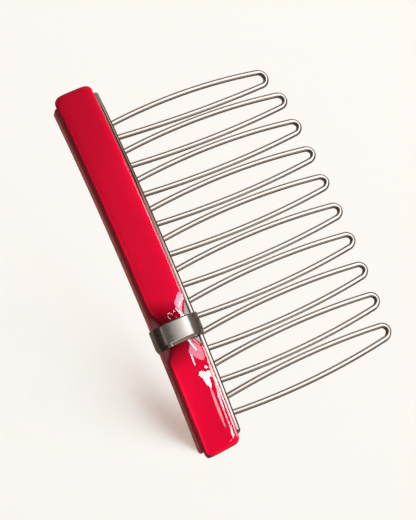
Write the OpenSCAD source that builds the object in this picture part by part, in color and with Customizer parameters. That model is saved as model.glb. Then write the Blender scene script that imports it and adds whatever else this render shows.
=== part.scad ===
// Side comb: a glossy red slab in a metal tray, tied by a metal band, with ten hairpin teeth of round wire.
// It lies as it would on a table, decorated side up: +X runs along the teeth, +Y along the bar, +Z up.
// The tray's two ends and the tips of the outer teeth touch the table at Z = 0.

/* [Arch] */
// Radius of the arch that the bar and the row of teeth follow, at the middle of the wires
arch_r = 247; // [200:1:400]

// Slant of the ends of slab and tray towards the bar's upper end, in mm per mm
end_skew = 0.11; // [0:0.01:0.2]

/* [Slab] */
// Length of the red slab along the arch
slab_len = 75.7; // [70:0.1:80]
// Width of the slab half way along
slab_w = 7.6; // [7:0.05:7.7]
// How much narrower the slab is at its lower end than at its upper end
slab_taper = 0.7; // [0:0.1:1]
// Thickness of the slab
slab_t = 2.3; // [1.5:0.1:3]
// Distance that the slab's middle lies below the crest of the arch
slab_down = 0.47; // [0:0.01:1]
// Distance that the slab lies off the tray's middle, away from the teeth
slab_off = 0.37; // [0:0.01:0.4]
// Radius that rounds the slab's ends, at its face and at its base
slab_end_r = 1.3; // [0.8:0.1:2]
base_end_r = 0.6; // [0.4:0.1:1]
// Width of the waist under the band, as a share of the slab's width
waist_share = 0.63; // [0.5:0.01:0.65]
// Distance that the waist lies off the tray's middle, away from the teeth
waist_off = 0.2; // [0:0.05:0.3]
// Depth by which the waist is pressed down
waist_dip = 0.45; // [0:0.05:0.8]
// Half the length of the waist's narrowest part
waist_half = 1.8; // [1:0.1:2]
// Length over which the slab swells again above the band
waist_run_up = 3.8; // [2:0.1:5]
// Length over which the slab swells again below the band
waist_run_down = 3.3; // [2:0.1:5]

/* [Tray] */
// Length of the tray, measured straight from end to end
tray_len = 72.2; // [70:0.1:78]
// Width of the tray half way along
tray_w = 9.25; // [9:0.05:11]
// How much narrower the tray is at its lower end than at its upper end
tray_taper = 0.95; // [0:0.05:1.2]
// Thickness of the tray's floor
floor_t = 1.8; // [1.6:0.05:2.5]
// Height of the raised rims above the floor
rim_h = 0.35; // [0.2:0.05:0.6]
// Width of the raised rim beside the teeth
rim_w = 0.55; // [0.4:0.05:0.6]
// Width of the raised rim on the other side
back_rim_w = 0.3; // [0.2:0.05:0.3]
// Length of the bare end above the rims
rim_stop = 3.3; // [0:0.1:5]
// Radius of the tray's corners
tray_corner = 0.7; // [0.3:0.1:1.5]

/* [Band] */
// Width of the band along the bar
band_w = 4.45; // [3:0.05:5]
// Distance of the band's middle below the crest of the arch
band_down = 14.7; // [14.5:0.05:14.9]
// Thickness of the band's sheet
band_t = 0.35; // [0.3:0.05:0.5]
// Bevel along the band's outer edges
band_bevel = 0.25; // [0.1:0.05:0.3]
// Half the width of the band's flat top, inside
band_flat = 2.6; // [2.5:0.05:3]
// Slant of the band across the bar, in degrees
band_slant = 3.2; // [0:0.1:4]

/* [Teeth] */
// Number of teeth
tooth_count = 10; // [10:1:10]
// Spacing of the teeth along the arch
pitch = 6.5; // [6.3:0.05:7]
// Distance of the row's middle below the crest of the arch
row_down = 1.6; // [0:0.1:2]
// Diameter of the wire
wire_d = 1.15; // [1:0.05:1.25]
// Length of the longest tooth, outside the tray
tooth_len = 37.3; // [30:0.1:42]
// Place in the row of the longest tooth
longest_at = 6.3; // [1:0.1:10]
// Loss of length of a tooth, times the square of its distance from the longest one
length_fall = 0.035; // [0:0.005:0.06]
// Length that the first tooth lacks beside the others
first_short = 1.3; // [0:0.1:2]
// Sideways bend of the first tooth's tip towards the others
first_bend = 0.6; // [0:0.1:0.8]
// Half the distance between a loop's legs where they are widest apart
belly = 2.45; // [2.2:0.05:2.5]
// Distance from the tray to the widest place of the loops
belly_at = 16.4; // [12:0.1:20]
// Sag of each leg's bow over the first 15 mm from the widest place
leg_bow = 0.707; // [0.5:0.001:0.8]
// Length of a loop's rounded tip
tip_r = 1.35; // [1:0.05:2]
// Rise of the teeth where they leave the tray, in mm per mm
rise = 0.036; // [0:0.002:0.06]
// Radius of the teeth's downward curl
curl_r = 246; // [200:1:300]
// Slant of the teeth towards the bar's upper end, in mm per mm
slant = 0.063; // [0:0.001:0.08]
// Depth of the sockets that hold the wires
socket_depth = 2.6; // [1.5:0.1:3]

/* [Hidden] */
// Gap kept between pieces that touch on the real comb
gap = 0.05;
// Sides of a full circle
$fn = 360;
// Sides of a wire's section, and steps along a leg and round half a tip
wire_sides = 10;
leg_steps = 11;
tip_steps = 5;
// Points round the slab's section, and steps round its ends, below the waist, along it and above it
slab_sides = 20;
end_steps = 5;
low_steps = 8;
waist_steps = 18;
high_steps = 16;
// Powers of the rounded box that is the slab's section, above and below its middle
face_power = 4.5;
base_power = 9;
// How far the slab's underside rises and its face drops at its very ends
end_rise = 0.25;
end_drop = 0.6;
// Length over which leg_bow is measured
bow_span = 15;
// Reach of the band's notches in from its inner wall, and their distance from the wires
notch_reach = 0.9;
notch_clear = 0.15;
// Length by which a cutting shape reaches past what it cuts
past = 3;

wire_r = wire_d / 2;
socket_r = wire_r + gap;
// Heights above the middle of the wires
tray_under = -0.95;
tray_floor = tray_under + floor_t;
tray_top = tray_floor + rim_h;
slab_under = tray_floor + gap;
slab_top = slab_under + slab_t;
waist_top = slab_top - waist_dip;
// Lines across the tray, from its right edge at x = 0
tray_mid = -tray_w / 2;
band_in_x = tray_w / 2 + gap;
band_in_top = waist_top + 0.08;
band_in_under = tray_under - gap;
band_round = 0.6;
band_edge = 0.1;
band_side = band_in_x - band_edge;
band_rim = tray_top - 0.05;
// Direction that the band's sloping sides face, from the line that touches both of their corners
band_slope = [band_side - band_flat, band_rim - band_in_top + band_round];
band_tilt = atan2(band_slope[1], band_slope[0]) + acos((band_round - band_edge) / norm(band_slope));

// Farthest reach of the tray along the bar, at the corner that its slanting end puts forward
tray_reach = tray_len / 2 + end_skew * (tray_w / 2 - tray_corner);
// Table height: that corner touches it
table_z = sqrt(pow(arch_r + tray_under, 2) - pow(tray_reach, 2)) - arch_r;
// Middle of the comb's box across and along, which comes to lie over the origin
mid_x = (tooth_len - tray_w - tray_taper / 2) / 2;
mid_y = end_skew * slab_taper / 4 - slab_down;

function tooth_name(k) = str("tooth_", k < 10 ? "0" : "", k);

// Angle of the arch that a length along it spans
function deg(along) = along / arch_r * 180 / PI;

// A point given across the bar, along the arch and above the wires, as a point of the comb
function on_arch(x, along, up) = [
    x,
    (arch_r + up) * sin(deg(along)),
    (arch_r + up) * cos(deg(along)) - arch_r
];

// Carries its children from the crest of the arch to a place along it
module at_arch(along) {
    translate([0, 0, -arch_r])
        rotate([-deg(along), 0, 0])
            translate([0, 0, arch_r])
                children();
}

// Part of the arch's shell between two heights above the wires
module arch_shell(low, high, x_from, x_to) {
    translate([x_from, 0, -arch_r])
        rotate([0, 90, 0])
            difference() {
                cylinder(r = arch_r + high, h = x_to - x_from);
                translate([0, 0, -1])
                    cylinder(r = arch_r + low, h = x_to - x_from + 2);
            }
}

// Extra width of a tapered piece at a place along the arch, for a taper given over the tray's length
function taper_at(taper, along) = taper * along / tray_len;

// Points of an arc round a centre
function arc_points(cx, cy, r, from, to, n) =
    [for (i = [0:n]) [cx + r * cos(from + (to - from) * i / n), cy + r * sin(from + (to - from) * i / n)]];

// Line at a distance inside the tray's left edge
function tray_x_left(along, inset) = -tray_w - taper_at(tray_taper, along) + inset;

module tray_outline() {
    top = tray_len / 2;
    c = tray_corner;
    corners = concat(
        arc_points(-c, top - c, c, 0, 90, 4),
        arc_points(tray_x_left(top, c), top - c, c, 90, 180, 4),
        arc_points(tray_x_left(-top, c), c - top, c, 180, 270, 4),
        arc_points(-c, c - top, c, 270, 360, 4)
    );
    polygon([for (p = corners) [p[0], p[1] + end_skew * (p[0] - tray_mid)]]);
}

module tray_pocket_outline() {
    far = tray_len;
    polygon([
        [-rim_w, far],
        [tray_x_left(far, back_rim_w), far],
        [tray_x_left(-far, back_rim_w), -far],
        [-rim_w, -far]
    ]);
}

// Carries a cylinder to a wire at the tray; side is 1 for the upper leg of a loop, -1 for the lower
module at_leg(k, side) {
    sideways = slant + side * leg_flare();
    at_arch(tooth_along(k))
        translate([0, side * half_gap(0), 0])
            rotate([0, 0, atan(sideways)])
                rotate([0, 90 - atan(rise), 0])
                    children();
}

module back_plate() {
    color([0.33, 0.29, 0.27])
    difference() {
        intersection() {
            arch_shell(tray_under, tray_top, -tray_w - past, past);
            translate([0, 0, -tray_w])
                linear_extrude(2 * tray_w)
                    tray_outline();
        }
        intersection() {
            arch_shell(tray_floor, tray_top + 1, -tray_w - past, past);
            translate([0, 0, -tray_w])
                linear_extrude(2 * tray_w) {
                    tray_pocket_outline();
                    translate([-tray_w - past, tray_len / 2 - rim_stop])
                        square([tray_w + 2 * past, rim_stop + past]);
                }
        }
        for (k = [1:tooth_count])
            for (side = [-1, 1])
                at_leg(k, side)
                    translate([0, 0, -socket_depth])
                        cylinder(r = socket_r, h = socket_depth + 1, $fn = 48);
    }
}

// Right half of the band's outline across the bar, from its top edge round to its underside, at a distance
// outside its inner face
function band_half(out) = concat(
    arc_points(band_flat, band_in_top - band_round, band_round + out, 90, band_tilt, 4),
    arc_points(band_side, band_rim, band_edge + out, band_tilt, 0, 1),
    arc_points(band_side, band_in_under + band_edge, band_edge + out, 0, -90, 2)
);

function band_outline(out) =
    let (half = band_half(out))
    concat(half, [for (i = [len(half) - 1:-1:0]) [-half[i][0], half[i][1]]]);

// Section of the band's sheet, as [distance outside the inner face, place along the bar]
function sheet_section() =
    let (h = band_w / 2, thin = band_t - band_bevel)
    [[thin, -h], [band_t, band_bevel - h], [band_t, h - band_bevel], [thin, h], [0, h], [0, -h]];

// The sheet bent round slab and tray, with the two notches that clear the wires beside it
module band() {
    outlines = [for (q = sheet_section()) band_outline(q[0])];
    notch_x = tray_w / 2 - notch_reach;
    clear = wire_r + notch_clear;
    upper_leg = leg_along(7, -1) + band_down;
    lower_leg = leg_along(8, 1) + band_down;
    color([0.5, 0.47, 0.44])
    at_arch(-band_down)
        translate([tray_mid + taper_at(tray_taper, band_down) / 2, 0, 0])
            difference() {
                loft([for (i = [0:len(outlines[0]) - 1])
                    [for (j = [0:len(outlines) - 1])
                        let (p = outlines[j][i])
                        [p[0], sheet_section()[j][1] + p[0] * tan(band_slant), p[1]]
                    ]
                ], true);
                translate([notch_x, upper_leg - clear, -past])
                    cube([past, band_w, past + clear]);
                translate([notch_x, lower_leg + clear - band_w, -past])
                    cube([past, band_w, past + clear]);
            }
}

// Share of the waist's pinch at a place along the arch: 1 under the band, 0 away from it
function pinch(along) =
    let (
        off = along + band_down,
        d = abs(off) - waist_half,
        run = off > 0 ? waist_run_up : waist_run_down
    )
    d <= 0 ? 1 : d >= run ? 0 : (1 + cos(180 * d / run)) / 2;

// Even steps from one place to another, without the first
function steps(from, to, n) = [for (i = [1:n]) from + (to - from) * i / n];

// Places of the slab's sections, each with 0 at the slab's very end up to 1 where the end's rounding stops
function slab_places() =
    let (
        low_end = -slab_down - slab_len / 2,
        high_end = slab_len / 2 - slab_down,
        r = slab_end_r,
        waist_low = -band_down - waist_half - waist_run_down,
        waist_high = waist_half + waist_run_up - band_down
    )
    concat(
        [for (i = [0:end_steps]) [low_end + r * (1 - cos(90 * i / end_steps)), sin(90 * i / end_steps)]],
        [for (along = steps(low_end + r, waist_low, low_steps)) [along, 1]],
        [for (along = steps(waist_low, waist_high, waist_steps)) [along, 1]],
        [for (along = steps(waist_high, high_end - r, high_steps)) [along, 1]],
        [for (i = [end_steps - 1:-1:0])
            [high_end - r * (1 - cos(90 * i / end_steps)), sin(90 * i / end_steps)]]
    );

// One section of the slab
function slab_section(along, full) =
    let (
        tight = pinch(along),
        waist = 1 - (1 - waist_share) * tight,
        half_w = (slab_w + taper_at(slab_taper, along)) / 2 * waist,
        low = slab_under + end_rise * (1 - full),
        high = slab_top - waist_dip * tight - end_drop * (1 - full),
        mid = (low + high) / 2,
        half_h = (high - low) / 2,
        off = slab_off + (waist_off - slab_off) * tight,
        across = tray_mid - taper_at(tray_taper, along) / 2 - off
    )
    [for (i = [0:slab_sides - 1])
        let (
            a = 360 * (i + 0.5) / slab_sides,
            face = sin(a) > 0,
            power = face ? face_power : base_power,
            reach = half_w - (face ? slab_end_r : base_end_r) * (1 - full),
            x = reach * sign(cos(a)) * pow(abs(cos(a)), 2 / power)
        )
        on_arch(across + x, along + end_skew * x, mid + half_h * sign(sin(a)) * pow(abs(sin(a)), 2 / power))
    ];

// Solid that joins a row of closed sections; a ring also joins the last to the first
module loft(sections, ring = false) {
    n = len(sections[0]);
    count = len(sections);
    last = ring ? count - 1 : count - 2;
    sides = [for (j = [0:last]) for (i = [0:n - 1])
        let (here = j * n, there = (j + 1) % count * n, next = (i + 1) % n)
        [here + i, here + next, there + next, there + i]
    ];
    ends = ring ? [] : [[for (i = [n - 1:-1:0]) i], [for (i = [0:n - 1]) (count - 1) * n + i]];
    polyhedron(points = [for (s = sections) for (p = s) p], faces = concat(sides, ends), convexity = 6);
}

module red_bar() {
    color([0.8, 0.03, 0.12])
    loft([for (place = slab_places()) slab_section(place[0], place[1])]);
}

// Place of a tooth's middle along the arch, and of one of its legs at the tray
function tooth_along(k) = ((tooth_count + 1) / 2 - k) * pitch - row_down;
function leg_along(k, side) = tooth_along(k) + side * half_gap(0);

// Half the distance between a loop's legs at x; it goes on straight inside the sockets
function half_gap(x) =
    x < 0 ? half_gap(0) + leg_flare() * x : belly - leg_bow * pow((x - belly_at) / bow_span, 2);
function leg_flare() = 2 * leg_bow * belly_at / pow(bow_span, 2);

// Height of a tooth above the wires' middle at x, and its sideways place
function tooth_up(x) = rise * x - (x > 0 ? x * x / (2 * curl_r) : 0);
function tooth_side(k, x) = slant * x - (k == 1 && x > 0 ? first_bend * pow(x / tooth_len, 2) : 0);

// Middle line of the wire at its farthest point from the tray
function tooth_end(k) =
    tooth_len - wire_r - length_fall * pow(k - longest_at, 2) - (k == 1 ? first_short : 0);

// Middle line of a loop, from inside one socket round the tip to the other, as [x, sideways, up]
function tooth_path(k) =
    let (
        turn_x = tooth_end(k) - tip_r,
        leg = concat(
            [2 * gap - socket_depth, 0],
            [for (i = [1:leg_steps]) turn_x * i / leg_steps]
        ),
        there = [for (x = leg) [x, half_gap(x)]],
        round = [for (i = [1:2 * tip_steps - 1])
            let (a = 90 * i / tip_steps, x = turn_x + tip_r * sin(a))
            [x, half_gap(x) * cos(a)]
        ],
        back = [for (i = [len(leg) - 1:-1:0]) [leg[i], -half_gap(leg[i])]]
    )
    [for (p = concat(there, round, back)) [p[0], p[1] + tooth_side(k, p[0]), tooth_up(p[0])]];

function unit(v) = v / norm(v);

// Ring of points round a wire's middle line
function wire_ring(p, ahead) =
    let (side = unit(cross(ahead, [0, 0, 1])), up = cross(side, ahead))
    [for (i = [0:wire_sides - 1])
        let (a = 360 * i / wire_sides)
        p + wire_r * (cos(a) * side + sin(a) * up)
    ];

module tooth(k) {
    path = tooth_path(k);
    last = len(path) - 1;
    color([0.45, 0.42, 0.4])
    at_arch(tooth_along(k))
        loft([for (i = [0:last])
            wire_ring(path[i], unit(path[min(i + 1, last)] - path[max(i - 1, 0)]))
        ]);
}

// Sets the comb on the table, with the origin under the middle of its box
module on_table() {
    translate([-mid_x, -mid_y, -table_z])
        children();
}

on_table() red_bar();
on_table() back_plate();
on_table() band();
for (k = [1:tooth_count]) on_table() tooth(k);
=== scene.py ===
import math

import bmesh
import bpy
from mathutils import Matrix, Vector


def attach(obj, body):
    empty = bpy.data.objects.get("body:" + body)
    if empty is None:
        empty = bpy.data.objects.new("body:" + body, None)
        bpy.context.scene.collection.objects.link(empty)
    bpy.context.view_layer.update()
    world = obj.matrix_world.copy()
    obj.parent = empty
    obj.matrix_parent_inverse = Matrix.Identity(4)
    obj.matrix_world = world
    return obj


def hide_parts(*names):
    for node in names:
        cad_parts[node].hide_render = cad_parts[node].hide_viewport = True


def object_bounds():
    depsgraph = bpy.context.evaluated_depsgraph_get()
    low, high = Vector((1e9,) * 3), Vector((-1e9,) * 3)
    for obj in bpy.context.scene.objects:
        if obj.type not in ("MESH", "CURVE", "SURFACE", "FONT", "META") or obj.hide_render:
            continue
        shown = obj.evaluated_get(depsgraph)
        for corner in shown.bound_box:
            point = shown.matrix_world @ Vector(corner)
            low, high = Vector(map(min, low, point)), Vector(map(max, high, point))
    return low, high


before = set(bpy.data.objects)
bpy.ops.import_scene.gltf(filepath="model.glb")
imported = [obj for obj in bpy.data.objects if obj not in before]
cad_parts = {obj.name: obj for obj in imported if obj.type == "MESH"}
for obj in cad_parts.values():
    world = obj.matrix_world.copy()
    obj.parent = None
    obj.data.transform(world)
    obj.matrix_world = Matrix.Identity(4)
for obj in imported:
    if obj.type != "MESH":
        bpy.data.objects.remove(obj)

CAD_BOX = [list(corner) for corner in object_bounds()]

# Sizes in millimetres, the same as in the part's source
ARCH_R = 247.0
END_SKEW = 0.11
SLAB_LEN, SLAB_W, SLAB_TAPER, SLAB_T, SLAB_DOWN, SLAB_OFF = 75.7, 7.6, 0.7, 2.3, 0.47, 0.37
SLAB_END_R, BASE_END_R, WAIST_SHARE, WAIST_DIP, WAIST_OFF = 1.3, 0.6, 0.63, 0.45, 0.2
WAIST_HALF, WAIST_UP, WAIST_DOWN = 1.8, 3.8, 3.3
TRAY_LEN, TRAY_W, TRAY_TAPER, TRAY_CORNER = 72.2, 9.25, 0.95, 0.7
RIM_H, RIM_W, BACK_RIM_W, RIM_STOP = 0.35, 0.55, 0.3, 3.3
TRAY_UNDER, TRAY_FLOOR = -0.95, 0.85
TRAY_TOP = TRAY_FLOOR + RIM_H
SLAB_UNDER = TRAY_FLOOR + 0.05
SLAB_TOP = SLAB_UNDER + SLAB_T
WAIST_TOP = SLAB_TOP - WAIST_DIP
BAND_W, BAND_DOWN, BAND_T, BAND_BEVEL = 4.45, 14.7, 0.35, 0.25
BAND_FLAT, BAND_SLANT = 2.6, math.radians(3.2)
TEETH, PITCH, ROW_DOWN, WIRE_R, TOOTH_LEN = 10, 6.5, 1.6, 0.575, 37.3
LONGEST_AT, LENGTH_FALL, FIRST_SHORT, FIRST_BEND = 6.3, 0.035, 1.3, 0.6
BELLY, BELLY_AT, LEG_BOW, LEG_RUN, TIP_R = 2.45, 16.4, 0.707, 15, 1.35
RISE, CURL_R, SLANT = 0.036, 246.0, 0.063
TRAY_MID = -TRAY_W / 2

TRAY_REACH = TRAY_LEN / 2 + END_SKEW * (TRAY_W / 2 - TRAY_CORNER)
TABLE_Z = math.sqrt((ARCH_R + TRAY_UNDER) ** 2 - TRAY_REACH ** 2) - ARCH_R
MID = Vector((
    (TOOTH_LEN - TRAY_W - TRAY_TAPER / 2) / 2,
    END_SKEW * SLAB_TAPER / 4 - SLAB_DOWN,
    TABLE_Z,
))


# Places on the comb
def on_arch(x, along, up):
    """A point across the bar, along the arch and above the wires' roots, as a place on the part in metres."""
    a = along / ARCH_R
    return (Vector((x, (ARCH_R + up) * math.sin(a), (ARCH_R + up) * math.cos(a) - ARCH_R)) - MID) / 1000


def at_plan(x, y, up):
    """The same with the place along the bar measured straight."""
    return on_arch(x, ARCH_R * math.asin(y / (ARCH_R + up)), up)


def square_to_arch(x, y, z, along):
    """The same for a point of a stiff piece that stands square to the arch at one place along it."""
    a = along / ARCH_R
    ahead = (ARCH_R + z) * math.sin(a) + y * math.cos(a)
    up = (ARCH_R + z) * math.cos(a) - y * math.sin(a) - ARCH_R
    return (Vector((x, ahead, up)) - MID) / 1000


def taper_at(taper, along):
    """What a taper adds to a width at a place along the bar."""
    return taper * along / TRAY_LEN


def clamp(value):
    return min(1.0, max(0.0, value))


def spread(a, b, n):
    """n even steps from a value, which is left out, to another."""
    return [a + (b - a) * i / n for i in range(1, n + 1)]


def arc(cx, cz, r, start, end, n):
    """Points of an arc between two angles in degrees."""
    angles = [math.radians(start + (end - start) * i / n) for i in range(n + 1)]
    return [(cx + r * math.cos(a), cz + r * math.sin(a)) for a in angles]


def lengths(points, wide=1, high=1):
    """The lengths along a closed outline up to each point, with its two directions stretched."""
    reach = [0.0]
    for p, q in zip(points, points[1:] + points[:1]):
        reach.append(reach[-1] + math.hypot((q[0] - p[0]) * wide, (q[1] - p[1]) * high))
    return reach


def even_steps(reach, n):
    """For n even steps along an outline, the point before each and the share of the way to the next point."""
    steps, j = [], 0
    for i in range(n):
        want = reach[-1] * i / n
        while reach[j + 1] < want:
            j += 1
        steps.append((j, (want - reach[j]) / max(1e-9, reach[j + 1] - reach[j])))
    return steps


def loft(name, sections, ring=False):
    """A mesh object through rows of points; a ring also joins the last row to the first."""
    n, count = len(sections[0]), len(sections)
    verts = [tuple(p) for row in sections for p in row]
    faces = []
    for j in range(count if ring else count - 1):
        a, b = j * n, (j + 1) % count * n
        faces += [(a + i, b + i, b + (i + 1) % n, a + (i + 1) % n) for i in range(n)]
    if not ring:
        faces.append(tuple(range(n)))
        faces.append(tuple((count - 1) * n + i for i in range(n - 1, -1, -1)))
    mesh = bpy.data.meshes.new(name)
    mesh.from_pydata(verts, [], faces)
    mesh.validate()
    bm = bmesh.new()
    bm.from_mesh(mesh)
    bmesh.ops.recalc_face_normals(bm, faces=bm.faces)
    bm.to_mesh(mesh)
    bm.free()
    mesh.shade_smooth()
    obj = bpy.data.objects.new(name, mesh)
    bpy.context.scene.collection.objects.link(obj)
    return obj


def sharp_by_angle(obj, degrees):
    obj.data.set_sharp_from_angle(angle=math.radians(degrees))


# Nodes
def node(tree, kind, **values):
    made = tree.nodes.new(kind)
    for key, value in values.items():
        if key in made.inputs:
            made.inputs[key].default_value = value
        else:
            setattr(made, key, value)
    return made


def material(name):
    mat = bpy.data.materials.new(name)
    mat.use_nodes = True
    tree = mat.node_tree
    return mat, tree, tree.nodes["Principled BSDF"]


def noise(tree, scale, detail=3.0, stretch=(1, 1, 1)):
    coords = node(tree, "ShaderNodeTexCoord")
    mapping = node(tree, "ShaderNodeMapping")
    mapping.inputs["Scale"].default_value = stretch
    tex = node(tree, "ShaderNodeTexNoise", Scale=scale, Detail=detail)
    tree.links.new(coords.outputs["Object"], mapping.inputs["Vector"])
    tree.links.new(mapping.outputs["Vector"], tex.inputs["Vector"])
    return tex.outputs["Fac"]


def ramp(tree, factor, stops):
    made = node(tree, "ShaderNodeValToRGB")
    elements = made.color_ramp.elements
    while len(elements) < len(stops):
        elements.new(0.5)
    for element, (position, colour) in zip(elements, stops):
        element.position = position
        element.color = (*colour, 1) if isinstance(colour, tuple) else (colour, colour, colour, 1)
    tree.links.new(factor, made.inputs["Fac"])
    return made.outputs["Color"]


def mottled(tree, low, high, scale=160, detail=3, stretch=(1, 1, 1)):
    """A colour that wanders between two close tones."""
    return ramp(tree, noise(tree, scale, detail, stretch), [(0.3, low), (0.7, high)])


def bump(tree, height, strength, distance):
    made = node(tree, "ShaderNodeBump", Strength=strength, Distance=distance)
    tree.links.new(height, made.inputs["Height"])
    return made.outputs["Normal"]


def share(tree, value, start, end):
    """How far a value lies between two others, from 0 to 1."""
    made = node(tree, "ShaderNodeMapRange")
    made.inputs["From Min"].default_value = start
    made.inputs["From Max"].default_value = end
    tree.links.new(value, made.inputs["Value"])
    return made.outputs["Result"]


def parts_of(tree, kind):
    """The three parts of a point's place on the object or of its normal."""
    coords = node(tree, "ShaderNodeTexCoord")
    split = node(tree, "ShaderNodeSeparateXYZ")
    tree.links.new(coords.outputs[kind], split.inputs["Vector"])
    return split.outputs


def place(tree, axis, start, end):
    """How far a point lies between two places along one of the part's axes, in metres, from 0 to 1."""
    return share(tree, parts_of(tree, "Object")[axis], start, end)


def steep(tree, start, end):
    """How steep the surface is, from 0 where its normal's height is the first value to 1 at the second."""
    return share(tree, parts_of(tree, "Normal")["Z"], start, end)


def above_wires(tree, start, end):
    """How far a point lies between two heights over the arch that the wires' roots follow, from 0 to 1."""
    coords = node(tree, "ShaderNodeTexCoord")
    across = node(tree, "ShaderNodeVectorMath", operation="MULTIPLY_ADD")
    tree.links.new(coords.outputs["Object"], across.inputs[0])
    across.inputs[1].default_value = (0, 1, 1)
    across.inputs[2].default_value = (0, MID.y / 1000, (MID.z + ARCH_R) / 1000)
    length = node(tree, "ShaderNodeVectorMath", operation="LENGTH")
    tree.links.new(across.outputs["Vector"], length.inputs[0])
    return share(tree, length.outputs["Value"], ARCH_R / 1000 + start, ARCH_R / 1000 + end)


# The painted shadow beside the band ends sooner towards the teeth, by this share of the way from this place
EDGE_LEAN, EDGE_LEAN_FROM = 0.36, -0.0209


def from_band(tree, start, end):
    """How far a point lies from the band's middle along the bar, and a little towards the teeth, from 0 to 1."""
    spot = parts_of(tree, "Object")
    past = node(tree, "ShaderNodeMath", operation="ADD")
    tree.links.new(spot["Y"], past.inputs[0])
    past.inputs[1].default_value = (BAND_DOWN + MID.y) / 1000
    gap = node(tree, "ShaderNodeMath", operation="ABSOLUTE")
    tree.links.new(past.outputs["Value"], gap.inputs[0])
    aside = node(tree, "ShaderNodeMath", operation="MULTIPLY_ADD")
    tree.links.new(spot["X"], aside.inputs[0])
    aside.inputs[1].default_value = EDGE_LEAN
    aside.inputs[2].default_value = -EDGE_LEAN * EDGE_LEAN_FROM
    total = node(tree, "ShaderNodeMath", operation="ADD")
    tree.links.new(gap.outputs["Value"], total.inputs[0])
    tree.links.new(aside.outputs["Value"], total.inputs[1])
    return share(tree, total.outputs["Value"], start, end)


def blend(tree, factor, a, b):
    made = node(tree, "ShaderNodeMix", data_type="RGBA")
    tree.links.new(factor, made.inputs["Factor"])
    tree.links.new(a, made.inputs["A"])
    tree.links.new(b, made.inputs["B"])
    return made.outputs["Result"]


# Materials
GRAIN_DETAIL, GRAIN_HEIGHT, ROUGH_RANGE = 4, 0.00002, 0.08


def red_gloss():
    """Deep cherry red with a clear gloss, with painted shade on its steep sides and a painted shadow beside the
    band.
    """
    mat, tree, shader = material("red_gloss")
    clouds = {"scale": 90, "detail": 2}
    face = mottled(tree, (0.56, 0.001, 0.024), (0.61, 0.002, 0.028), stretch=(1, 0.5, 1), **clouds)
    # Painted shade: the steep sides of the slab get a near-black red.
    painted_side_shade = mottled(tree, (0.03, 0.0, 0.001), (0.04, 0.0, 0.002), **clouds)
    # Painted shadow: a darker red beside the band, where the band's shade falls on the slab.
    waist = mottled(tree, (0.06, 0.0, 0.001), (0.08, 0.0, 0.002), **clouds)
    face = blend(tree, from_band(tree, start=0.0026, end=0.0070), waist, face)
    tree.links.new(blend(tree, steep(tree, start=0.72, end=0.42), face, painted_side_shade), shader.inputs["Base Color"])
    polish = ramp(tree, noise(tree, scale=900, detail=4), [(0.35, 0.015), (0.75, 0.035)])
    tree.links.new(polish, shader.inputs["Roughness"])
    waves = bump(tree, noise(tree, scale=120, detail=1), strength=0.02, distance=0.0002)
    tree.links.new(waves, shader.inputs["Normal"])
    shader.inputs["IOR"].default_value = 1.4
    return mat


def grained(tree, shader, scale, stretch, rough, strength):
    """Fine grain in a surface's roughness and height."""
    finish = ramp(tree, noise(tree, scale, GRAIN_DETAIL, stretch), [(0.3, rough), (0.75, rough + ROUGH_RANGE)])
    tree.links.new(finish, shader.inputs["Roughness"])
    relief = bump(tree, noise(tree, scale, GRAIN_DETAIL, stretch), strength, GRAIN_HEIGHT)
    tree.links.new(relief, shader.inputs["Normal"])


def metal(name, light_tone, dark_tone, rough, grain, strength):
    """Bare metal in two close tones, with its grain drawn out across the bar."""
    mat, tree, shader = material(name)
    tree.links.new(mottled(tree, dark_tone, light_tone), shader.inputs["Base Color"])
    shader.inputs["Metallic"].default_value = 1.0
    grained(tree, shader, grain, (0.1, 1, 1), rough, strength)
    return mat


def tray_metal():
    """Dark plate with painted shade on its floor, and a maroon lacquer on its back rim with a painted contact
    shadow at its foot.
    """
    mat, tree, shader = material("dark_metal")
    plain = mottled(tree, (0.46, 0.36, 0.31), (0.55, 0.44, 0.38))
    # Painted shade: the floor between the rims, below the rims' tops, is darker.
    painted_floor_shade = mottled(tree, (0.20, 0.155, 0.135), (0.25, 0.195, 0.17))
    plain = blend(tree, above_wires(tree, start=0.0011, end=0.0009), plain, painted_floor_shade)
    lacquer = mottled(tree, (0.42, 0.07, 0.066), (0.52, 0.09, 0.085))
    # Painted contact shadow: the lacquer turns near black at the foot of the back rim's outer wall.
    painted_foot_shadow = mottled(tree, (0.07, 0.005, 0.004), (0.10, 0.008, 0.007))
    lacquer = blend(tree, above_wires(tree, start=-0.00025, end=-0.00055), lacquer, painted_foot_shadow)
    lacquered = place(tree, "X", start=-0.0195, end=-0.0205)
    tree.links.new(blend(tree, lacquered, plain, lacquer), shader.inputs["Base Color"])
    tree.links.new(ramp(tree, lacquered, [(0.0, 1.0), (1.0, 0.0)]), shader.inputs["Metallic"])
    shader.inputs["Specular IOR Level"].default_value = 0.15
    grained(tree, shader, scale=1500, stretch=(1, 0.1, 1), rough=0.16, strength=0.04)
    return mat


def pale_floor():
    mat, tree, shader = material("floor")
    tone = mottled(tree, (0.90, 0.89, 0.87), (0.91, 0.9, 0.88), scale=3, detail=2)
    tree.links.new(tone, shader.inputs["Base Color"])
    shader.inputs["Roughness"].default_value = 0.9
    shader.inputs["Specular IOR Level"].default_value = 0.1
    return mat


RED = red_gloss()
DARK = tray_metal()
BRIGHT = metal("bright_metal", (0.66, 0.62, 0.57), (0.58, 0.54, 0.5), rough=0.2, grain=1500, strength=0.03)
WIRE = metal("wire", (0.66, 0.62, 0.58), (0.6, 0.56, 0.52), rough=0.12, grain=900, strength=0.04)


def finish_piece(obj, mat, slot, *nodes):
    obj.data.materials.append(mat)
    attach(obj, "root")
    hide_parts(*nodes)
    return obj


# Slab
SECTION_POINTS, SECTION_STEPS = 96, 1440
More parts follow.
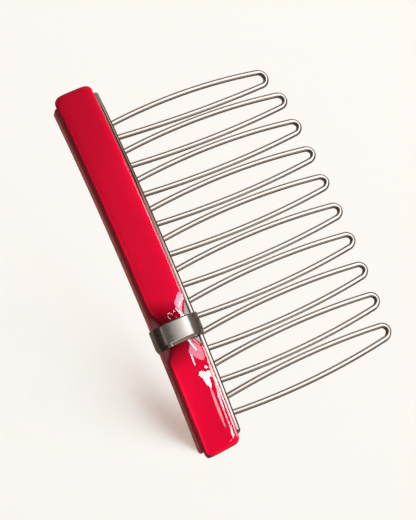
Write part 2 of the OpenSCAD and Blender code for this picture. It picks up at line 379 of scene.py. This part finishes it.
# How square the section is on the left of its face, on the domed right and underneath
FACE_POWER, DOME_POWER, BASE_POWER = 4.5, 3.2, 9
# At the very ends the underside rises and the face drops
END_RISE, END_DROP = 0.25, 0.6
# How fast the rounding of the ends grows from the underside's radius to the face's
END_BLEND = 0.9
# Sections at each end, below the waist, over it and above it
END_ROWS, LOW_ROWS, WAIST_ROWS, HIGH_ROWS = 12, 28, 40, 60


def pinch(along):
    """How far the slab is pinched at a place along it: 1 under the band, 0 past the waist."""
    off = along + BAND_DOWN
    run = WAIST_UP if off > 0 else WAIST_DOWN
    return (1 + math.cos(math.pi * clamp((abs(off) - WAIST_HALF) / run))) / 2


def box_section():
    """Points round the slab's section, evenly spaced along its outline, as shares of its half sizes."""
    fine = []
    for i in range(SECTION_STEPS):
        a = 2 * math.pi * (i + 0.5) / SECTION_STEPS
        c, s = math.cos(a), math.sin(a)
        power = BASE_POWER if s <= 0 else FACE_POWER if c < 0 else DOME_POWER
        fine.append((math.copysign(abs(c) ** (2 / power), c), math.copysign(abs(s) ** (2 / power), s)))
    return [fine[j] for j, _ in even_steps(lengths(fine, SLAB_W / 2, SLAB_T / 2), SECTION_POINTS)]


SECTION = box_section()


def slab_section(along, full):
    """The slab's outline at a place along it; full is 1 except in the rounded ends."""
    tight = pinch(along)
    waist = 1 - (1 - WAIST_SHARE) * tight
    half_w = (SLAB_W + taper_at(SLAB_TAPER, along)) / 2 * waist
    low = SLAB_UNDER + END_RISE * (1 - full)
    high = SLAB_TOP - WAIST_DIP * tight - END_DROP * (1 - full)
    across = TRAY_MID - taper_at(TRAY_TAPER, along) / 2 - SLAB_OFF - (WAIST_OFF - SLAB_OFF) * tight
    row = []
    for x, z in SECTION:
        end_r = BASE_END_R + (SLAB_END_R - BASE_END_R) * clamp(0.5 + z * END_BLEND)
        x *= half_w - end_r * (1 - full)
        row.append(on_arch(across + x, along + END_SKEW * x, (low + high) / 2 + (high - low) / 2 * z))
    return row


def slab():
    low, high = -SLAB_DOWN - SLAB_LEN / 2, SLAB_LEN / 2 - SLAB_DOWN
    waist_low, waist_high = -BAND_DOWN - WAIST_HALF - WAIST_DOWN, WAIST_HALF + WAIST_UP - BAND_DOWN
    turns = [math.pi / 2 * i / END_ROWS for i in range(END_ROWS + 1)]
    end = [(SLAB_END_R * (1 - math.cos(a)), math.sin(a)) for a in turns]
    places = [(low + inward, full) for inward, full in end]
    places += [(along, 1) for along in spread(low + SLAB_END_R, waist_low, LOW_ROWS)]
    places += [(along, 1) for along in spread(waist_low, waist_high, WAIST_ROWS)]
    places += [(along, 1) for along in spread(waist_high, high - SLAB_END_R, HIGH_ROWS)]
    places += [(high - inward, full) for inward, full in reversed(end[:-1])]
    obj = loft("slab", [slab_section(along, full) for along, full in places])
    return finish_piece(obj, RED, "red_gloss", "red_bar")


# Tray
# How much further its lower end reaches than in the part's source
LOW_MORE = 0.8
# The skew of the ends starts this far from the middle and is full after this run
SKEW_FROM, SKEW_RUN = 20, 14
# Radii of the edges underneath, of the rims' upper edges and of their inner feet
UNDER_R, RIM_R, FOOT_R, FOOT_LEAST = 0.14, 0.06, 0.04, 0.001
# Where the rims are low, their roundings take at most this share of the height, and at least this radius
ROUND_SHARE, ROUND_LEAST = 0.9, 0.004
# The outer face of the toothed rim curves in by this much over this height
CURVE_IN, CURVE_HIGH = 0.42, 0.3
# The toothed rim is wider by this much below a place, which it reaches over a run; the least width of a rim
RIM_MORE, RIM_MORE_FROM, RIM_MORE_RUN, RIM_LEAST = 0.35, 16, 5, 0.22
# Width of the floor's first strip beside a rim's foot
FLOOR_EDGE = 0.06
# Length over which the rims fall to the floor before the upper end, and the half length with closer sections
STOP_RUN, STOP_NEAR = 0.12, 0.1
# The eased edge of both ends: distances from the end, and how far the section is set in there
END_EDGE = [(0.0, 0.12), (0.03, 0.05), (0.1, 0.0)]
# Sections in each rounded corner, up to the rims' stop, over it and beyond it, up to this far from the corner
CORNER_ROWS, RIM_ROWS, STOP_ROWS, BARE_ROWS, BARE_SHORT = 8, 70, 8, 4, 0.05
# Steps round an edge, over the toothed rim's curved face and in a rim's foot
EDGE_STEPS, CURVE_STEPS, FOOT_STEPS = 4, 8, 3
# The tray stays this much above the table
TABLE_GAP = 0.01


def tray_section(y, set_in):
    """The tray's outline at a place measured straight along the bar."""
    along = ARCH_R * math.asin(y / ARCH_R)
    skewed = clamp((abs(y) - SKEW_FROM) / SKEW_RUN)
    from_end = TRAY_LEN / 2 - max(y, -y - LOW_MORE)
    inset = 0.0
    if from_end < TRAY_CORNER:
        inset = TRAY_CORNER - math.sqrt(max(0.0, TRAY_CORNER ** 2 - (TRAY_CORNER - from_end) ** 2))
    left = -TRAY_W - taper_at(TRAY_TAPER, along) + inset + set_in
    right = -inset - set_in
    to_stop = TRAY_LEN / 2 - RIM_STOP - y
    raised = clamp(to_stop / STOP_RUN + 0.5) * (1 - min(1.0, inset / RIM_W))
    top = TRAY_FLOOR + RIM_H * raised - set_in
    floor_z = TRAY_FLOOR - set_in
    under = TRAY_UNDER + set_in
    most = max(ROUND_LEAST, (top - floor_z) * ROUND_SHARE)
    edge, fall = min(RIM_R, most), min(CURVE_HIGH, most)
    foot = min(FOOT_R, (top - floor_z) / 2 + FOOT_LEAST)
    rim = max(RIM_W + RIM_MORE * clamp((RIM_MORE_FROM - y) / RIM_MORE_RUN) - inset, RIM_LEAST)
    back_rim = max(BACK_RIM_W - inset, RIM_LEAST)
    outline = arc(left + UNDER_R, under + UNDER_R, UNDER_R, 180, 270, EDGE_STEPS)
    outline += arc(right - UNDER_R, under + UNDER_R, UNDER_R, 270, 360, EDGE_STEPS)
    outline += [
        (right - CURVE_IN * (1 - x) * fall / CURVE_HIGH, top - fall * (1 - z))
        for x, z in arc(0, 0, 1, 0, 90, CURVE_STEPS)
    ]
    outline += arc(right - rim + edge, top - edge, edge, 90, 180, EDGE_STEPS)
    outline += arc(right - rim - foot, floor_z + foot, foot, 360, 270, FOOT_STEPS)
    outline.append((right - rim - foot - FLOOR_EDGE, floor_z))
    outline.append((left + back_rim + foot + FLOOR_EDGE, floor_z))
    outline += arc(left + back_rim + foot, floor_z + foot, foot, 270, 180, FOOT_STEPS)
    outline += arc(left + back_rim - edge, top - edge, edge, 0, 90, EDGE_STEPS)
    outline += arc(left + edge, top - edge, edge, 90, 180, EDGE_STEPS)
    points = [at_plan(x, y + END_SKEW * (x - TRAY_MID) * skewed, z) for x, z in outline]
    for point in points:
        point.z = max(point.z, TABLE_GAP / 1000)
    return points


def tray():
    half, eased = TRAY_LEN / 2, END_EDGE[-1][0]
    ends = [(half - inward, set_in) for inward, set_in in END_EDGE]
    for i in range(2, CORNER_ROWS + 1):
        corner = TRAY_CORNER * (1 - math.cos(math.pi / 2 * i / CORNER_ROWS))
        ends.append((half - corner - eased, 0.0))
    stop, bare_end = half - RIM_STOP, ends[-1][0] - BARE_SHORT
    places = [(-y - LOW_MORE, set_in) for y, set_in in ends]
    places += [(y, 0.0) for y in spread(places[-1][0], stop - STOP_NEAR, RIM_ROWS)]
    places += [(y, 0.0) for y in spread(stop - STOP_NEAR, stop + STOP_NEAR, STOP_ROWS)]
    places += [(y, 0.0) for y in spread(stop + STOP_NEAR, bare_end, BARE_ROWS)]
    places += list(reversed(ends))
    obj = loft("tray", [tray_section(y, set_in) for y, set_in in places])
    sharp_by_angle(obj, 50)
    return finish_piece(obj, DARK, "dark_metal", "back_plate")


# Band
# Its gap to the tray, the gap over the slab, and the radii of its shoulders and of its other bends
BAND_GAP, BAND_OVER, SHOULDER_R, BEND_R = 0.05, 0.08, 0.6, 0.1
# The shoulders start at this angle, in degrees
SHOULDER_FROM = 86
# The face swells in its middle and drops beside it, in full from this height in the metal on
FACE_SWELL, FACE_DROP, FACE_FULL = 0.1, 0.05, 0.1
# Points of its outline, and how often their shoulders are eased
OUTLINE_POINTS, EASE_PASSES = 240, 60
# Steps over half the face, round a shoulder, at the bend beside the rim and at the bend underneath
FACE_STEPS, SHOULDER_STEPS, SIDE_STEPS, UNDER_STEPS = 10, 8, 5, 6
BEVEL_ANGLES = (0, 22, 45, 68, 90)
# The wide slope along the lower edge: how far the face has fallen at distances from the edge
LOWER_EDGE = [(0.0, 0.74), (0.01, 0.68), (0.035, 0.61), (0.29, 0.03), (0.31, 0.0)]


def even(points, n):
    """n points evenly spaced along a closed outline, from its first point on."""
    ahead = points[1:] + points[:1]
    return [
        tuple(a + t * (b - a) for a, b in zip(points[j], ahead[j]))
        for j, t in even_steps(lengths(points), n)
    ]


def rounded(points, passes):
    """The evenly spaced outline with its shoulders eased."""
    for _ in range(passes):
        ahead, behind = points[1:] + points[:1], points[-1:] + points[:-1]
        points = [
            ((a[0] + 2 * p[0] + b[0]) / 4, (a[1] + 2 * p[1] + b[1]) / 4)
            for a, p, b in zip(ahead, points, behind)
        ]
    return points


def band():
    in_x, in_top, in_under = TRAY_W / 2 + BAND_GAP, WAIST_TOP + BAND_OVER, TRAY_UNDER - BAND_GAP
    side_x, side_top = in_x - BEND_R, TRAY_TOP - BAND_GAP
    flank = (side_x - BAND_FLAT, side_top - in_top + SHOULDER_R)
    tilt = math.degrees(math.atan2(flank[1], flank[0]) + math.acos((SHOULDER_R - BEND_R) / math.hypot(*flank)))

    def outline(out):
        """The closed outline at a height in the metal, from the middle of the face round to it again."""
        grown = min(1, out / FACE_FULL)
        swell, drop = FACE_SWELL * grown, FACE_DROP * grown
        right = [
            (x, in_top + out + swell - (swell + drop) * (x / BAND_FLAT) ** 2)
            for x in spread(0.0, BAND_FLAT, FACE_STEPS)[:-1]
        ]
        shoulder = arc(BAND_FLAT, in_top - SHOULDER_R, SHOULDER_R + out, SHOULDER_FROM, tilt, SHOULDER_STEPS)
        right += [(x, z - drop) for x, z in shoulder]
        right += arc(side_x, side_top, BEND_R + out, tilt, 0, SIDE_STEPS)
        right += arc(side_x, in_under + BEND_R, BEND_R + out, 0, -90, UNDER_STEPS)
        whole = [(0.0, in_top + out + swell)] + right + [(-x, z) for x, z in reversed(right)]
        return rounded(even(whole, OUTLINE_POINTS), round(EASE_PASSES * grown))

    half_w, flat_t, flat_w = BAND_W / 2, BAND_T - BAND_BEVEL, BAND_W / 2 - BAND_BEVEL
    bevel = [
        (flat_t + BAND_BEVEL * math.sin(a), flat_w + BAND_BEVEL * math.cos(a))
        for a in map(math.radians, BEVEL_ANGLES)
    ]
    lower_edge = [(BAND_T - drop, back - half_w) for drop, back in LOWER_EDGE]
    sheet = [(0.0, -half_w), (0.0, half_w)] + bevel + lower_edge
    outlines = [outline(out) for out, _ in sheet]
    shift = TRAY_MID + taper_at(TRAY_TAPER, BAND_DOWN) / 2
    rows = [
        [
            square_to_arch(x + shift, y + x * math.tan(BAND_SLANT), z, -BAND_DOWN)
            for (x, z), (_, y) in zip(points, sheet)
        ]
        for points in zip(*outlines)
    ]
    obj = loft("strap", rows, ring=True)
    sharp_by_angle(obj, 60)
    return finish_piece(obj, BRIGHT, "bright_metal", "band")


# Teeth
# How far each wire reaches into the tray, and how far inside the tray's edge lies its next section
WIRE_IN, WIRE_NEXT = 2.5, 0.02
LEG_STEPS, TIP_STEPS, WIRE_SIDES = 44, 24, 20


def half_gap(x):
    """Half the gap between a tooth's two legs at a distance from the tray."""
    flare = 2 * LEG_BOW * BELLY_AT / LEG_RUN ** 2
    if x < 0:
        return half_gap(0) + flare * x
    return BELLY - LEG_BOW * ((x - BELLY_AT) / LEG_RUN) ** 2


def wire(k):
    end = TOOTH_LEN - WIRE_R - LENGTH_FALL * (k - LONGEST_AT) ** 2 - (FIRST_SHORT if k == 1 else 0)
    turn = end - TIP_R
    leg = [-WIRE_IN, -WIRE_NEXT] + [turn * i / LEG_STEPS for i in range(LEG_STEPS + 1)]
    path = [(x, half_gap(x)) for x in leg]
    for i in range(1, TIP_STEPS):
        a = math.pi * i / TIP_STEPS
        x = turn + TIP_R * math.sin(a)
        path.append((x, half_gap(x) * math.cos(a)))
    path += [(x, -half_gap(x)) for x in reversed(leg)]
    middle = []
    for x, y in path:
        y += SLANT * x - (FIRST_BEND * (x / TOOTH_LEN) ** 2 if k == 1 and x > 0 else 0)
        z = RISE * x - (x * x / (2 * CURL_R) if x > 0 else 0)
        middle.append(Vector((x, y, z)))
    along = ((TEETH + 1) / 2 - k) * PITCH - ROW_DOWN
    rows = []
    for i, p in enumerate(middle):
        ahead = (middle[min(i + 1, len(middle) - 1)] - middle[max(i - 1, 0)]).normalized()
        side = ahead.cross(Vector((0, 0, 1))).normalized()
        up = side.cross(ahead)
        row = []
        for j in range(WIRE_SIDES):
            t = 2 * math.pi * j / WIRE_SIDES
            q = p + WIRE_R * (math.cos(t) * side + math.sin(t) * up)
            row.append(square_to_arch(q.x, q.y, q.z, along))
        rows.append(row)
    return finish_piece(loft(f"wire_{k:02d}", rows), WIRE, "wire", f"tooth_{k:02d}")


slab_piece = slab()
tray_piece = tray()
band_piece = band()
wires = [wire(k) for k in range(1, TEETH + 1)]
for piece in [slab_piece, tray_piece, band_piece] + wires:
    piece.visible_diffuse = False

# Floor, in metres
FLOOR_HALF, FLOOR_BELOW = 3.0, 0.00002
corners = [(x * FLOOR_HALF, y * FLOOR_HALF, 0) for x, y in ((-1, -1), (1, -1), (1, 1), (-1, 1))]
floor_mesh = bpy.data.meshes.new("floor")
floor_mesh.from_pydata(corners, [], [(0, 1, 2, 3)])
floor = bpy.data.objects.new("floor", floor_mesh)
bpy.context.scene.collection.objects.link(floor)
floor.location.z = CAD_BOX[0][2] - FLOOR_BELOW
floor_mesh.materials.append(pale_floor())
floor.visible_glossy = False

# Camera, from the fitted rotation and distance between the arch's own frame and the photo, in millimetres
TURN = Matrix(((0.8999, -0.3853, 0.2040), (-0.3214, -0.9025, -0.2867), (0.2946, 0.1924, -0.9361)))
AWAY = Vector((-6.505, 0.317, 268.252))
SHIFT_ALONG, SHIFT_X = 1.6, 0.35
SENSOR, LENS_PIXELS, PHOTO_HEIGHT = 36.0, 1400, 520
lean = SHIFT_ALONG / ARCH_R
TILT = Matrix(((1, 0, 0), (0, math.cos(lean), math.sin(lean)), (0, -math.sin(lean), math.cos(lean))))
turn = TURN @ TILT
centre = Vector((0, 0, ARCH_R))
eye = TILT.transposed() @ (TURN.transposed() @ (-AWAY) + Vector((SHIFT_X, 0, 0)) + centre) - centre - MID
cam_data = bpy.data.cameras.new("camera")
cam_data.sensor_width = SENSOR
cam_data.lens = SENSOR * LENS_PIXELS / PHOTO_HEIGHT
cam_data.clip_start, cam_data.clip_end = 0.01, 20
cam = bpy.data.objects.new("camera", cam_data)
bpy.context.scene.collection.objects.link(cam)
rot = Matrix((turn[0], -turn[1], -turn[2])).transposed()
cam.matrix_world = Matrix.Translation(eye / 1000) @ rot.to_4x4()
bpy.context.scene.camera = cam

# Lights
WHITE, WARM, COOL, BROWN, BLUISH = (1, 1, 1), (1, 0.985, 0.96), (0.88, 1, 1.08), (1, 0.85, 0.75), (0.95, 1, 1.25)


def group(name, members):
    made = bpy.data.collections.new(name)
    for member in members:
        made.objects.link(member)
    return made


def area_lamp(name, shape, wide, tall, radiance, colour):
    """A flat lamp of a size in metres that the camera doesn't see."""
    data = bpy.data.lights.new(name, "AREA")
    data.shape = shape
    data.size, data.size_y = wide, tall
    area = data.size * data.size_y * (math.pi / 4 if shape == "ELLIPSE" else 1)
    data.energy = radiance * math.pi * area
    data.color = colour
    obj = bpy.data.objects.new(name, data)
    bpy.context.scene.collection.objects.link(obj)
    obj.visible_camera = False
    return obj


def light(name, across, along, wide, tall, radiance, colour=WHITE, lit=None, casting=None, away=0.6, roll=0):
    """A lamp at a distance in metres, seen from the part under two angles from straight up and of an angular
    size, all in degrees."""
    toward = Vector((math.tan(math.radians(across)), math.tan(math.radians(along)), 1)).normalized()
    right = (Vector((1, 0, 0)) - toward * toward.x).normalized()
    facing = Matrix((right, toward.cross(right), toward)).transposed()
    turned = facing @ Matrix.Rotation(math.radians(roll), 3, "Z")
    sizes = [2 * away * math.tan(math.radians(angle / 2)) for angle in (wide, tall)]
    obj = area_lamp(name, "RECTANGLE", *sizes, radiance, colour)
    obj.matrix_world = Matrix.Translation(toward * away) @ turned.to_4x4()
    if lit:
        obj.light_linking.receiver_collection = group(name + "_lit", lit)
    if casting:
        obj.light_linking.blocker_collection = group(name + "_casting", casting)
    return obj


def soft_light(*args, **values):
    """A lamp that shows in no gloss."""
    light(*args, **values).visible_glossy = False


def card(*args, **values):
    """A lamp that shows only in gloss."""
    light(*args, **values).visible_diffuse = False


def glint(name, x, y, high, wide, tall, roll, radiance, shape, colour=WHITE):
    """A lamp close over the slab, placed and sized in millimetres, that only the slab's gloss shows."""
    obj = area_lamp(name, shape, wide / 1000, tall / 1000, radiance, colour)
    above = Matrix.Translation((x / 1000, y / 1000, high / 1000))
    obj.matrix_world = above @ Matrix.Rotation(math.radians(roll), 4, "Z")
    obj.visible_diffuse = False
    obj.light_linking.receiver_collection = group(name + "_lit", [slab_piece])


def strip(name, spot, behind, wide, tall, radiance):
    """A narrow lamp close beside the slab, in millimetres, that lights only it and shows in no gloss."""
    obj = area_lamp(name, "RECTANGLE", wide / 1000, tall / 1000, radiance, WARM)
    facing = Vector(behind).to_track_quat("Z", "Y").to_matrix().to_4x4()
    obj.matrix_world = Matrix.Translation(Vector(spot) / 1000) @ facing
    obj.visible_glossy = False
    obj.light_linking.receiver_collection = group(name + "_lit", [slab_piece])


# Lamps for the floor, the slab and the lacquer: two angles, angular width and height, and radiance
soft_light("room", 10, 5, 80, 80, 2.26, (1, 0.975, 0.95), lit=[floor], casting=[floor], away=0.9)
soft_light("key", 75, 20, 30, 30, 25.7, WARM, lit=[slab_piece], away=0.9)
soft_light("side_light", -71.5, -20, 24, 24, 12.0, WARM, lit=[slab_piece], away=0.1)
strip("low_strip", (-34, -28, 10), (-16, 0, 4), 5, 28, 9)
strip("side_strip", (-11.5, 4, 10.5), (6, 0, 5), 36, 3, 1.45)
strip("end_strip", (-19, -46, 6.5), (-1, -8, 3.5), 8, 4, 7)
soft_light("side_high", -78, 35, 24, 24, 4.5, WARM, lit=[slab_piece], away=0.1)
soft_light("low_light", 60, -40, 20, 20, 12.0, WARM, lit=[slab_piece], away=0.12)
soft_light("paint_light", -25, -10, 60, 60, 0.8, lit=[tray_piece], away=0.9)

# A small low lamp near the lower end, and its dark twin that nothing blocks: together only the shadow is left
SHADE_SIZE, SHADE_POWER, SHADE_SPREAD = 0.0117, 0.0021, math.radians(53)
SHADE_AT, SHADE_TOWARD = (-0.0195, -0.0391, 0.0063), (-0.0349, 0.0433, -0.0043)
for name, sign, casting in (("shade", 1, [slab_piece, tray_piece]), ("unshade", -1, [floor])):
    radiance = sign * SHADE_POWER / (math.pi * SHADE_SIZE ** 2)
    lamp = area_lamp(name, "RECTANGLE", SHADE_SIZE, SHADE_SIZE, radiance, (0.81, 1.0, 1.04))
    lamp.data.spread = SHADE_SPREAD
    lamp.location = SHADE_AT
    lamp.rotation_mode = "QUATERNION"
    lamp.rotation_quaternion = Vector(SHADE_TOWARD).to_track_quat("-Z", "Y")
    lamp.visible_glossy = False
    lamp.light_linking.receiver_collection = group(name + "_lit", [floor])
    lamp.light_linking.blocker_collection = group(name + "_casting", casting)

# Name, two angles, angular width and height, radiance, colour and the pieces whose gloss shows the card
for *values, lit in [
    ("wire_box", 31, 8, 48, 64, 1.7, WHITE, wires),
    ("wire_grey", 31, -32, 48, 16, 0.62, WHITE, wires),
    ("band_box", 25.5, 0, 8.5, 40, 3.0, WHITE, [band_piece]),
    ("band_fill_a", 6, 0, 6, 40, 0.2, WHITE, [band_piece]),
    ("band_fill_b", 12, 0, 6, 40, 0.6, WHITE, [band_piece]),
    ("band_fill_c", 18, 0, 6, 40, 0.95, WHITE, [band_piece]),
    ("band_edge", 13, -30, 44, 9, 2.2, WHITE, [band_piece]),
    ("band_right", 60, 0, 40, 60, 0.08, WHITE, [band_piece]),
    ("band_left", -50, 0, 5, 40, 0.6, WHITE, [band_piece]),
    ("tray_box_a", 18, 3, 18, 13, 2.9, COOL, [tray_piece]),
    ("tray_box_b", 18, -11, 18, 15, 2.9, COOL, [tray_piece]),
    ("tray_fill_a", 18, 12, 18, 5, 1.05, WHITE, [tray_piece]),
    ("tray_fill_c", 18, 38, 24, 7, 1.5, WHITE, [tray_piece]),
    ("tray_fill_b", 18, 24.4, 24, 20, 0.45, BROWN, [tray_piece]),
]:
    card(*values, lit=lit)

# What the slab's gloss shows from afar: two angles, angular width and height, roll and radiance
for k, (across, along, wide, tall, roll, radiance) in enumerate([
    (34.2, -13.8, 5, 7, 0, 26),
    (48, -8.6, 2.8, 25, -80, 26),
    (35, -17, 12, 2.4, 0, 24),
    (68, -20, 16, 12, 0, 24),
    (78, 0, 24, 14, 0, 20),
    (78, 46, 12, 24, 0, 15),
    (-50, -26, 10, 24, 0, 1.2),
]):
    card(f"bar_{k}", across, along, wide, tall, radiance, lit=[slab_piece], roll=roll)

# And from close by: place, height, width and length in millimetres, roll, radiance, shape and colour
for k, values in enumerate([
    (1.8, -23.8, 34, 9.0, 0.9, 0, 32, "ELLIPSE"),
    (-8.2, -25.3, 34, 4.0, 2.0, 0, 34, "ELLIPSE"),
    (4.0, -25.6, 34, 16.0, 1.9, 0, 34, "ELLIPSE"),
    (-4.9, -27.0, 34, 8.0, 4.4, -8, 34, "ELLIPSE"),
    (-5.3, -34.3, 34, 3.4, 11.4, 0, 12, "ELLIPSE"),
]):
    glint(f"glint_{k}", *values)
for k, values in enumerate([
    (-10.0, -10.0, 11, 11.4, 6.8, 0, 15, "ELLIPSE", BLUISH),
    (-13.2, -17.8, 11, 7.8, 7.0, 0, 9, "ELLIPSE", BLUISH),
    (-16.75, -19.9, 11, 0.44, 4.0, 0, 34, "ELLIPSE"),
    (-16.1, -17.4, 8.2, 0.42, 2.8, 9.5, 32, "RECTANGLE"),
    (-16.5, -11.14, 8.2, 1.09, 0.3, -50, 30, "RECTANGLE"),
    (-15.6, -11.84, 8.2, 1.23, 0.34, -27, 30, "RECTANGLE"),
    (-17.4, -11.2, 8.2, 0.36, 0.36, 0, 30, "ELLIPSE"),
    (-18.39, -11.25, 8.2, 0.9, 0.16, 6.5, 24, "RECTANGLE"),
    (-18.8, -11.92, 8.2, 0.56, 0.14, -54, 20, "RECTANGLE"),
    (-17.36, -12.09, 8.2, 0.2, 0.2, 0, 9, "ELLIPSE"),
    (-15.95, -37.75, 6.5, 1.3, 0.13, 12, 22, "RECTANGLE"),
]):
    glint(f"low_glint_{k}", *values)

# Surroundings: tones from straight down to straight up, for four directions
NEAR = [
    (0.0, (0.10, 0.07, 0.05)), (0.3, (0.14, 0.095, 0.075)), (0.45, (0.22, 0.16, 0.13)),
    (0.6, (0.42, 0.35, 0.29)), (0.75, (0.36, 0.3, 0.25)), (0.9, (0.07, 0.06, 0.052)),
]
FAR = [
    (0.0, (0.42, 0.35, 0.30)), (0.48, (0.4, 0.34, 0.29)),
    (0.52, (0.30, 0.26, 0.22)), (0.85, (0.16, 0.14, 0.12)),
]
LEFTWARD = [
    (0.48, (0.14, 0.11, 0.09)), (0.52, (0.03, 0.02, 0.015)),
    (0.76, (0.03, 0.02, 0.015)), (0.86, (0.16, 0.135, 0.12)),
]
RIGHTWARD = [(0.25, (0.34, 0.28, 0.24)), (0.48, (0.13, 0.095, 0.08)), (0.8, (0.10, 0.08, 0.07))]
# What soft light comes from all round, and what the camera sees past the floor
AROUND, BACKDROP = (0.04, 0.0392, 0.0382, 1), (0.96, 0.94, 0.905, 1)


def surroundings():
    world = bpy.data.worlds.new("studio")
    world.use_nodes = True
    tree = world.node_tree
    toward = parts_of(tree, "Generated")
    height = share(tree, toward["Z"], -1.0, 1.0)
    near, far, leftward, rightward = [ramp(tree, height, stops) for stops in (NEAR, FAR, LEFTWARD, RIGHTWARD)]
    seen = blend(tree, share(tree, toward["Y"], -0.2, 0.2), near, far)
    seen = blend(tree, share(tree, toward["X"], 0.05, -0.25), seen, leftward)
    seen = blend(tree, share(tree, toward["X"], 0.5, 0.75), seen, rightward)
    rays = node(tree, "ShaderNodeLightPath")
    soft = node(tree, "ShaderNodeMix", data_type="RGBA")
    soft.inputs["A"].default_value = AROUND
    tree.links.new(rays.outputs["Is Glossy Ray"], soft.inputs["Factor"])
    tree.links.new(seen, soft.inputs["B"])
    mix = node(tree, "ShaderNodeMix", data_type="RGBA")
    mix.inputs["B"].default_value = BACKDROP
    tree.links.new(rays.outputs["Is Camera Ray"], mix.inputs["Factor"])
    tree.links.new(soft.outputs["Result"], mix.inputs["A"])
    back = tree.nodes["Background"]
    tree.links.new(mix.outputs["Result"], back.inputs["Color"])
    back.inputs["Strength"].default_value = 1.0
    return world


scene = bpy.context.scene
scene.world = surroundings()
scene.view_settings.view_transform = "Standard"
scene.view_settings.look = "None"
